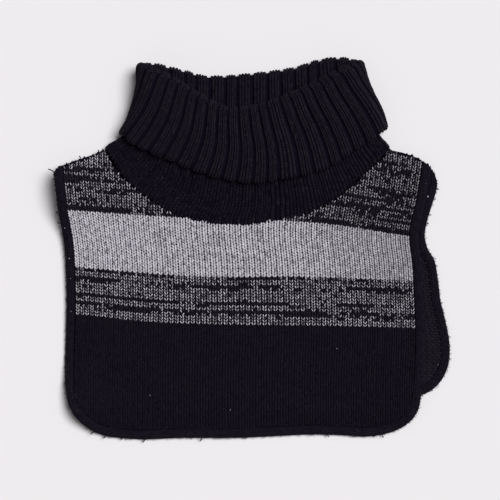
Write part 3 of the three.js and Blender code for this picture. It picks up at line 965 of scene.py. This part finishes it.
def bib_sheet(name, sides, lines, underside, across, rows, sink, raise_under=0.0):
    share = np.linspace(SHEET_MARGIN, 1 - SHEET_MARGIN, across)
    y_top = np.full(across, SHOULDER_GUESS)
    for _ in range(GUESSES):
        y_top = top_edge(sides.x(share, y_top), lines)
    y = mix(y_top, sides.bottom(sides.x(share, HEM_LINE)), np.linspace(0, 1, rows)[:, None])
    x = sides.x(share, y)
    low = underside(x, y)
    above = np.stack([x, y, low + BIB_WALL - sink], axis=-1)
    below = np.stack([x, y, low + raise_under], axis=-1)
    points = np.concatenate([above, below[::-1]])
    faces = grid_faces(2 * rows, across, wrap_rows=True)
    for column in (0, across - 1):
        for r in range(rows - 1):
            a, b = r * across + column, (r + 1) * across + column
            c, d = (2 * rows - 2 - r) * across + column, (2 * rows - 1 - r) * across + column
            faces.append((a, b, c, d) if column else (d, c, b, a))
    made = mesh_object(name, points.reshape(-1, 3), faces, ground)
    print(name, triangles(made), "triangles")
    return made, x, y


front, fx, fy = bib_sheet("front_ground", front_sides, FRONT_LINES, front_underside,
                          across=110, rows=80, sink=0.8)
# The sheet takes the painted shade tone under the grey band, and the black elsewhere.
grey_zone = (fy < read(GREY_TOP, "y", fx) - GREY_INSET) & (fy > read(GREY_BOTTOM, "y", fx) + GREY_INSET)
front_tone = np.where(grey_zone, SHADE_UNDER_GREY, UNDER_BLACK)
set_tone(front, np.concatenate([front_tone, front_tone[::-1]]).ravel())

# %% Stitches on the front bib
LEG_ASIDE = 0.221
LEG_WIDTH = 0.88
LEG_LENGTH = 1.62
LEG_THICKNESS = 1.5
LEG_RISE = -0.55
RISE_SPREAD = 0.12
BIB_UNEVEN = 0.07
WALE_DRAW = 0.08
TOP_MARGIN = 0.2
TUCKED_IN = 1.0
STRAND_ASIDE = 0.218
STRAND_LEAN = math.radians(26)
STRAND_SIZE = (0.5, 0.76, 0.85)
STRAND_RISE = 0.42
UNDER_TONE = 0.005


def vee_legs(place, sides, lines, share, where, leg, thickness, lean=LEG_LEAN, flip=1):
    """Legs of V stitches that lie inside a bib's edges; flip is -1 for the face that looks down."""
    middle = place(share, where)
    x, y = middle[:, 0], middle[:, 1]
    margin = np.where(in_neck(x) & (flip > 0), -TUCKED_IN, TOP_MARGIN)
    kept = (y < top_edge(x, lines) - margin) & (y > sides.bottom(x))
    middle, share, where, leg = middle[kept], share[kept], where[kept], leg[kept]
    along = place(share, where - 0.5) - place(share, where + 0.5)
    aside = flip * (place(share + 0.5 / WALES, where) - place(share - 0.5 / WALES, where))
    angles, up = leg_frames(along, aside, flip * leg, lean)
    width = np.linalg.norm(aside, axis=1) / 2 * LEG_WIDTH
    length = np.linalg.norm(along, axis=1) * LEG_LENGTH
    sizes = np.column_stack([width, length, np.full(len(width), thickness)])
    return kept, middle, angles, up, sizes


def knit_front(name, courses, tone_of, with_strand=False):
    """V stitches over part of the bib, two legs each, marled ones with a thin light strand on top."""
    wale, course, leg = every(np.arange(WALES), courses, (-1, 1))
    share = (wale + 0.5 + leg * (STRAND_ASIDE if with_strand else LEG_ASIDE)) / WALES
    share = share - WALE_DRAW * np.sin(2 * math.pi * share) / (2 * math.pi)
    where = course + 0.5 + random.normal(0, BIB_UNEVEN, len(course))
    kept, middle, angles, up, sizes = vee_legs(
        front_place, front_sides, FRONT_LINES, share, where, leg, LEG_THICKNESS,
        lean=STRAND_LEAN if with_strand else LEG_LEAN)
    sizes[:, 0] *= 1 - WALE_DRAW * np.cos(2 * math.pi * share[kept])
    sizes *= random.normal(1, BIB_UNEVEN, sizes.shape)
    tones = tone_of(middle, course[kept])
    places = middle + up * (LEG_RISE + random.normal(0, RISE_SPREAD, len(middle))[:, None])
    if with_strand:
        lit = tones > 0
        places = np.concatenate([places, places[lit] + up[lit] * STRAND_RISE])
        angles = np.concatenate([angles, angles[lit]])
        sizes = np.concatenate([sizes, sizes[lit] * STRAND_SIZE])
        tones = np.concatenate([np.where(lit, UNDER_TONE, 0), tones[lit]])
    return make_legs(name, places, angles, sizes, tones)

# %% The four zones of the front bib
GREY_TONE = 0.89
GREY_SPREAD = 0.19
GREY_DARKER = 0.25
GREY_FADE = (20, 120)
BRIGHTEST = 1.2
BLACK_TONE = 0.006
BLACK_SPREAD = 0.002
MARL_END = GREY_COURSES + MARL_COURSES


def grey_tone(middle, course):
    """The grey melange, a little darker towards the right."""
    mean = GREY_TONE - GREY_DARKER * ease(middle[:, 0], *GREY_FADE)
    return (mean * random.normal(1, GREY_SPREAD, len(mean))).clip(0, BRIGHTEST)


def black_tone(middle, course):
    return random.normal(BLACK_TONE, BLACK_SPREAD, len(middle)).clip(0)


yoke = knit_front("front_stitches_yoke", np.arange(-YOKE_COURSES, 0), marl_tone, with_strand=True)
grey = knit_front("front_stitches_grey", np.arange(GREY_COURSES), grey_tone)
marled = knit_front("front_stitches_marl", np.arange(GREY_COURSES, MARL_END), marl_tone,
                    with_strand=True)
lower = knit_front("front_stitches_lower", np.arange(MARL_END, MARL_END + BLACK_COURSES), black_tone)

# %% [markdown]
# ## The back bib
#
# Only a strip of the back bib shows, at the right, and there we look at the inner side of its knit,
# where short bars lie across the cloth. Its outer side is down on the table. The strip alone would do
# from above, but the outer side shows from below, so we knit it all the same, with coarser legs.

# %% The back bib's sheet
def back_underside(x, y):
    return corner_lift(x, y, LIFTED_PLACES[:1])


UNDER_BACK = 0.01
back, bx, _ = bib_sheet("back_ground", back_sides, BACK_LINES, back_underside,
                        across=90, rows=70, sink=0.5, raise_under=0.6)
set_tone(back, np.full(2 * bx.size, UNDER_BACK))

# %% Stitches on the back bib
BACK_COURSES = 92
BACK_TOP = 82.0
BACK_PITCH = 2.25
BACK_THICKNESS = 1.1
BACK_LEG_SIDES = 4
BACK_LEG_RINGS = 2
BACK_RISE = 0.75
BARS_FROM = 0.86
BARS_BELOW = 30
BAR_STAGGER = 0.25
BAR_LEAN = 0.3
BAR_SIZE = (2.3, 4.4, 1.3)
BAR_SINK = 0.45
BAR_TONE = 0.014


def back_face(height):
    def place(share, course):
        y = BACK_TOP - course * BACK_PITCH
        x = back_sides.x(share, y)
        return np.stack([x, y, back_underside(x, y) + height], axis=-1)
    return place


def knit_bars():
    """Short bars across the inner side of the cloth, where it shows."""
    place = back_face(BIB_WALL)
    wales = np.arange(int(WALES * BARS_FROM), WALES + 1)
    wale, course = every(wales, np.arange(BARS_BELOW, BACK_COURSES))
    share = (wale + 0.5 + BAR_STAGGER * (course % 2)) / WALES
    middle = place(share, course + 0.5)
    kept = middle[:, 1] > back_sides.bottom(middle[:, 0])
    middle, share, course = middle[kept], share[kept], course[kept]
    along = place(share + 0.5 / WALES, course + 0.5) - middle
    angles, up = leg_frames(along, place(share, course + 1.0) - middle, np.full(len(share), BAR_LEAN))
    up = np.where(up[:, 2:] < 0, -up, up)
    sizes = BAR_SIZE * random.normal(1, BIB_UNEVEN, (len(share), 3))
    tones = random.normal(BAR_TONE, TONE_SPREAD, len(share)).clip(0)
    return make_legs("back_bars", middle - up * BAR_SINK, angles, sizes, tones)


def knit_back_outside():
    wale, course, leg = every(np.arange(WALES), np.arange(BACK_COURSES), (-1, 1))
    share = (wale + 0.5 + leg * LEG_ASIDE) / WALES
    _, middle, angles, up, sizes = vee_legs(
        back_face(0.0), back_sides, BACK_LINES, share, course + 0.5, leg, BACK_THICKNESS, flip=-1)
    tones = np.full(len(middle), BLACK_TONE)
    return make_legs("back_stitches", middle - up * BACK_RISE, angles, sizes, tones,
                     BACK_LEG_SIDES, BACK_LEG_RINGS)


bars = knit_bars()
back_knit = knit_back_outside()

# %% [markdown]
# ## The trims
#
# A narrow band, knitted on afterwards, finishes the edge of each bib. It is a flattened tube with two
# wales of small stitches along it. A curve with a bevel would do for the tube, but not for the stitches,
# which need its frames: so we sweep the tube along the edge curve ourselves, and the stitches follow the
# same curve.

# %% Trims as swept bands
TRIM_STATIONS = 360
TRIM_SIDES = 12
TRIM_SQUARENESS = 0.7
TRIM_CROWN = 2.6
TRIM_TONE = 0.008
TRIM_LEGS = np.array([-0.42, -0.14, 0.14, 0.40])
TRIM_LEG = (1.75, 3.5, 1.5)
TRIM_PITCH = 2.1
TRIM_SINK = 0.5
TRIM_UNEVEN = 0.08
BAND_INWARD = 1.08
BAND_SINK = 0.35
ALONG_STEP = 0.0015
ALONG_JITTER = 0.0002
SLOPE_STEP = 0.05


def trim_frames(path, share):
    ahead, behind = (path(np.clip(share + s, 0, 1)) for s in (ALONG_STEP, -ALONG_STEP))
    tangent = unit(ahead - behind)
    outwards = np.stack([tangent[:, 1], -tangent[:, 0]], axis=1)
    return path(share) - outwards * TRIM_WIDTH / 2, tangent, outwards


def trim_top(height_share):
    """Height of the band's upper side, from its share across the band."""
    return TRIM_HEIGHT * (0.5 + 0.5 * (1 - np.abs(2 * height_share) ** TRIM_CROWN) ** 0.5)


def below_shoulder(x, y):
    return y < shoulder_line(x) - SHOULDER_CUT


def knit_trim(name, path, underside):
    courses = int(path.length / TRIM_PITCH)
    share, leg = every((np.arange(courses) + 0.5) / courses, np.arange(len(TRIM_LEGS)))
    share = (share + random.normal(0, ALONG_JITTER, len(share))).clip(0, 1)
    middle, tangent, outwards = trim_frames(path, share)
    aside = TRIM_LEGS[leg]
    flat = middle + outwards * (aside * TRIM_WIDTH)[:, None]
    places = np.column_stack([flat, underside(*middle.T) + trim_top(aside)])
    rise = trim_top(aside + SLOPE_STEP) - trim_top(aside - SLOPE_STEP)
    side = np.column_stack([outwards, rise / (2 * SLOPE_STEP * TRIM_WIDTH)])
    along = np.column_stack([tangent, np.zeros(len(share))])
    angles, up = leg_frames(along, side, np.where(leg % 2 == 0, -1.0, 1.0))
    up = np.where(up[:, 2:] < 0, -up, up)
    sizes = TRIM_LEG * random.normal(1, TRIM_UNEVEN, (len(share), 3))
    tones = random.normal(TRIM_TONE, TONE_SPREAD, len(share)).clip(0)
    kept = below_shoulder(places[:, 0], places[:, 1])
    return make_legs(name, (places - up * TRIM_SINK)[kept], angles[kept], sizes[kept], tones[kept])


def rounded(values):
    return np.sign(values) * np.abs(values) ** TRIM_SQUARENESS


def make_trim(name, points, underside):
    path = edge_path(points)
    middle, tangent, outwards = trim_frames(path, np.linspace(0, 1, TRIM_STATIONS))
    x, y = middle.T
    base = underside(x, np.minimum(y, shoulder_line(x) - SHOULDER_CUT))
    angle = np.arange(TRIM_SIDES) / TRIM_SIDES * 2 * math.pi
    across = rounded(np.cos(angle)) * TRIM_WIDTH / 2
    across = np.where(across < 0, across * BAND_INWARD, across)
    high = rounded(np.sin(angle)) * (TRIM_HEIGHT / 2 - BAND_SINK)
    flat = middle[:, None, :] + outwards[:, None, :] * across[None, :, None]
    flat[..., 1] = np.minimum(flat[..., 1], shoulder_line(flat[..., 0]) - SHOULDER_CUT)
    z = base[:, None] + TRIM_HEIGHT / 2 + high[None, :]
    faces = grid_faces(TRIM_STATIONS, TRIM_SIDES, wrap_across=True)
    last = (TRIM_STATIONS - 1) * TRIM_SIDES
    faces += [tuple(reversed(range(TRIM_SIDES))), tuple(range(last, last + TRIM_SIDES))]
    points3 = np.concatenate([flat, z[..., None]], axis=2).reshape(-1, 3)
    band = mesh_object(name + "_band", points3, faces, ground)
    set_tone(band, np.full(len(points3), UNDER_BLACK))
    return band, knit_trim(name + "_stitches", path, underside)


front_band, front_band_knit = make_trim("front_trim", FRONT_EDGE, trim_underside)
back_band, back_band_knit = make_trim("back_trim", BACK_EDGE, back_underside)

# %% [markdown]
# ## Fuzz, loose ends and lint
#
# Worn knitwear is never clean-edged. Fine fibres stand off the edge bands and the collar, a few yarn
# ends stick out along the edges, and pale lint has caught on the black. Blender's hair would be lost in
# the export, so each fibre is the same leaf of yarn, very thin, and the same tree makes them all. The
# longer ends are short chains of leaves that bend.

# %% Fibres from roots and directions
FIBRE_SIDES = 4
FIBRE_RINGS = 2
FLOOR_MARGIN = 0.6
NEARLY_UP = (0.02, 0.01, 1)
fibre_random = np.random.default_rng(31)


def make_fibres(name, roots, directions, lengths, widths, tones):
    roots = np.column_stack([roots[:, :2], np.maximum(roots[:, 2], FLOOR_MARGIN)])
    along = unit(directions)
    climb = np.maximum(along[:, 2], (FLOOR_MARGIN - roots[:, 2]) / lengths)[:, None].clip(-1, 1)
    along = np.column_stack([unit(along[:, :2]) * np.sqrt(1 - climb**2), climb])
    side = unit(np.cross(along, NEARLY_UP))
    angles = turn_angles(side, along, np.cross(side, along))
    sizes = np.column_stack([widths, lengths, widths])
    places = roots + along * lengths[:, None] / 2
    return make_legs(name, places, angles, sizes, tones, FIBRE_SIDES, FIBRE_RINGS)


def fibre_sizes(count, lengths, widths):
    """Many short fibres and a few long ones."""
    return mix(*lengths, fibre_random.random(count) ** 3), mix(*widths, fibre_random.random(count))


# %% Fuzz along the edge bands
EDGE_FIBRES = 1500
EDGE_LENGTHS = (1.1, 3.2)
EDGE_WIDTHS = (0.18, 0.42)
FIBRE_ROOT = 0.5
FIBRE_SPREAD = math.radians(50)
FIBRE_CLIMB = 0.25
LOWEST_ROOT = 1.0


def trim_fuzz(name, points, underside):
    path = edge_path(points)
    middle, tangent, outwards = trim_frames(path, fibre_random.random(EDGE_FIBRES))
    flat = middle + outwards * (TRIM_WIDTH / 2 - FIBRE_ROOT)
    rise = fibre_random.uniform(LOWEST_ROOT, TRIM_HEIGHT - FLOOR_MARGIN, EDGE_FIBRES)
    roots = np.column_stack([flat, underside(*flat.T) + rise])
    turn = fibre_random.normal(0, FIBRE_SPREAD, EDGE_FIBRES)[:, None]
    level = outwards * np.cos(turn) + tangent * np.sin(turn)
    directions = np.column_stack([level, fibre_random.normal(0, FIBRE_CLIMB, EDGE_FIBRES)])
    lengths, widths = fibre_sizes(EDGE_FIBRES, EDGE_LENGTHS, EDGE_WIDTHS)
    kept = below_shoulder(*flat.T)
    return make_fibres(name, roots[kept], directions[kept], lengths[kept], widths[kept],
                       np.zeros(kept.sum()))


front_fuzz = trim_fuzz("front_trim_fuzz", FRONT_EDGE, trim_underside)
back_fuzz = trim_fuzz("back_trim_fuzz", BACK_EDGE, back_underside)

# %% Fuzz on the collar
COLLAR_FIBRES = 4200
COLLAR_LENGTHS = (0.9, 2.6)
COLLAR_WIDTHS = (0.08, 0.17)
COLLAR_TONES = (0, 0.03)
FIRST_ROW = 8
ROOT_DEPTH = 0.3
TANGLE = 0.6
face = visible_face(collar_turns)
normal = unit(np.cross(np.roll(face, -1, 1) - face, np.roll(face, -1, 0) - face))
picked_row = fibre_random.integers(FIRST_ROW, len(face) - 1, COLLAR_FIBRES)
picked_turn = fibre_random.integers(0, face.shape[1], COLLAR_FIBRES)
fibre_up = normal[picked_row, picked_turn]
lengths, widths = fibre_sizes(COLLAR_FIBRES, COLLAR_LENGTHS, COLLAR_WIDTHS)
collar_fuzz = make_fibres(
    "collar_fuzz",
    face[picked_row, picked_turn] - fibre_up * ROOT_DEPTH,
    fibre_up + fibre_random.normal(0, TANGLE, (COLLAR_FIBRES, 3)),
    lengths,
    widths,
    mix(*COLLAR_TONES, fibre_random.random(COLLAR_FIBRES)),
)

# %% Loose ends along the edges
LOOSE_ENDS = np.array([
    (-156.6, 60.6, -161.4, 63.2), (-136.6, 71.4, -137.8, 74.1), (-122.4, 77.3, -123.2, 79),
    (-154, 27.6, -156.2, 29.4), (-151.6, 20, -155.2, 20.8), (-126, -146.6, -128.8, -148.2),
    (-117.6, -149.4, -119, -151.4), (-103.6, -150.8, -105, -153), (-84.2, -151.4, -87.4, -154.8),
    (-39.6, -150.8, -41.6, -153.8), (-19.2, -150.6, -20.4, -152.4), (129.2, 73.4, 128.8, 75.8),
    (147.2, 48.4, 149.6, 47.5), (145, 40.5, 147.2, 39.6), (141.2, 28, 143.6, 27.5),
    (138.4, 20.8, 141.6, 20), (60, -148.4, 61.6, -150.6), (104, -148.4, 105.6, -150.8),
])
LOOSE_END_WIDTH = 1.2
LOOSE_END_LEAVES = 4
LOOSE_END_BOW = 0.5
LOOSE_END_CLIMB = 0.8
LEAF_OVERLAP = 0.25
END_DEPTH = 1.2
BACK_SHOWS_FROM = 125
SIDE_LOW = -110


def loose_ends():
    """Each yarn end is a chain of leaves on a bow from its root to its tip."""
    root, tip = LOOSE_ENDS[:, :2], LOOSE_ENDS[:, 2:]
    bow = np.stack([root[:, 1] - tip[:, 1], tip[:, 0] - root[:, 0]], axis=1)
    bow = bow * fibre_random.uniform(-LOOSE_END_BOW, LOOSE_END_BOW, (len(root), 1))
    on_back = (root[:, 0] > BACK_SHOWS_FROM) & (root[:, 1] > SIDE_LOW)
    under = np.where(on_back, back_underside(*root.T), trim_underside(*root.T))
    z = under + TRIM_HEIGHT - END_DEPTH
    knots = []
    for t in np.linspace(0, 1, LOOSE_END_LEAVES + 1):
        flat = mix(root, tip, t) + bow * 2 * t * (1 - t)
        knots.append(np.column_stack([flat, z + t * LOOSE_END_CLIMB]))
    knots = np.array(knots)
    step = (knots[1:] - knots[:-1]).reshape(-1, 3)
    lengths = np.linalg.norm(step, axis=1) * (1 + 2 * LEAF_OVERLAP)
    starts = knots[:-1].reshape(-1, 3) - step * LEAF_OVERLAP
    return make_fibres("loose_ends", starts, step, lengths, np.full(len(step), LOOSE_END_WIDTH),
                       np.full(len(step), UNDER_BLACK))


ends = loose_ends()

# %% Lint
LINT = columns("x y size tone", [
    (-149.9, 16.8, 0.8, 0.7), (-146.6, -8, 0.9, 0.8), (-145.6, -24, 0.7, 0.6),
    (-145.2, -49.6, 0.7, 0.5), (140.4, 41, 1.2, 0.9), (145.6, 60.8, 0.8, 0.5),
    (-80.8, -116.8, 0.9, 0.5), (-17.8, -128.9, 0.9, 0.6), (67.2, -79.2, 0.9, 0.5),
    (139, 52, 0.6, 0.4),
])
LINT_LIFT = 0.9
LINT_FLATTENED = (1, 1, 0.1)
LINT_STRETCH = 1.5


def make_lint():
    x, y, size, tone = LINT.values()
    z = trim_underside(x, y) + TRIM_HEIGHT + LINT_LIFT
    directions = fibre_random.normal(0, 1, (len(x), 3)) * LINT_FLATTENED
    return make_fibres("lint", np.column_stack([x, y, z]), directions, size * LINT_STRETCH, size, tone)


lint = make_lint()

# %% [markdown]
# ## The pieces on the body
#
# Every piece rides on the one body and stands for its CAD node, which is hidden. The grounds are
# the cloth itself, and each node takes the stitches and bands that belong to it.

# %% Bodies, nodes and slots
PIECES = {
    "rib_collar": ("black_rib", (collar, outer, inner, neckband, collar_fuzz)),
    "front_panel": ("striped_knit", (front, yoke, grey, marled, lower, lint)),
    "back_panel": ("black_knit", (back, bars, back_knit)),
    "front_trim": ("black_trim", (front_band, front_band_knit, front_fuzz, ends)),
    "back_trim": ("black_trim", (back_band, back_band_knit, back_fuzz)),
}
for node, (slot, pieces) in PIECES.items():
    for piece in pieces:
        low, high = piece.bound_box[0][2], piece.bound_box[6][2]
        print(piece.name, "lies between", round(low / MM, 2), "and", round(high / MM, 2))
        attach(piece, "root")
        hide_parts(node)
print("triangles in all", sum(triangles(p) for _, pieces in PIECES.values() for p in pieces))

# %% [markdown]
# ## Floor and light
#
# The object lies on pale paper under a big soft window of light. Several area lamps would leave several
# shadows, and the photograph has one. So a pale sky lights the scene evenly, and one wide soft lamp, far
# off to the right, rounds the stitches and throws the soft shadow to the left of the cloth.

# %% Floor
FLOOR_HALF = 3.0
FLOOR_COLOUR = (0.87, 0.845, 0.87, 1)
FLOOR_ROUGHNESS = 0.9
FLOOR_CORNERS = [(x * FLOOR_HALF, y * FLOOR_HALF, 0) for x, y in ((-1, -1), (1, -1), (1, 1), (-1, 1))]
floor_mesh = bpy.data.meshes.new("floor")
floor_mesh.from_pydata(FLOOR_CORNERS, [], [(0, 1, 2, 3)])
floor = add_object("floor", floor_mesh)
paper = bpy.data.materials.new("pale_floor")
paper.use_nodes = True
paper.node_tree.nodes["Principled BSDF"].inputs["Base Color"].default_value = FLOOR_COLOUR
paper.node_tree.nodes["Principled BSDF"].inputs["Roughness"].default_value = FLOOR_ROUGHNESS
floor_mesh.materials.append(paper)
print("floor is", 2 * FLOOR_HALF, "m wide")

# %% Lamp and sky
SKY = 0.17
SKY_COLOUR = (1, 0.99, 1, 1)
LAMP = 2.94
LAMP_SPREAD = 33
LAMP_ELEVATION = 62
LAMP_BEARING = 32
world = bpy.data.worlds.new("studio")
bpy.context.scene.world = world
world.use_nodes = True
world.node_tree.nodes["Background"].inputs["Color"].default_value = SKY_COLOUR
world.node_tree.nodes["Background"].inputs["Strength"].default_value = SKY

lamp_data = bpy.data.lights.new("softbox", "SUN")
lamp_data.energy = LAMP
lamp_data.angle = math.radians(LAMP_SPREAD)
lamp = add_object("softbox", lamp_data)
lamp.rotation_euler = (0, math.radians(90 - LAMP_ELEVATION), math.radians(LAMP_BEARING))
bpy.context.scene.view_settings.view_transform = "Standard"
print("lamp", LAMP, "sky", SKY)
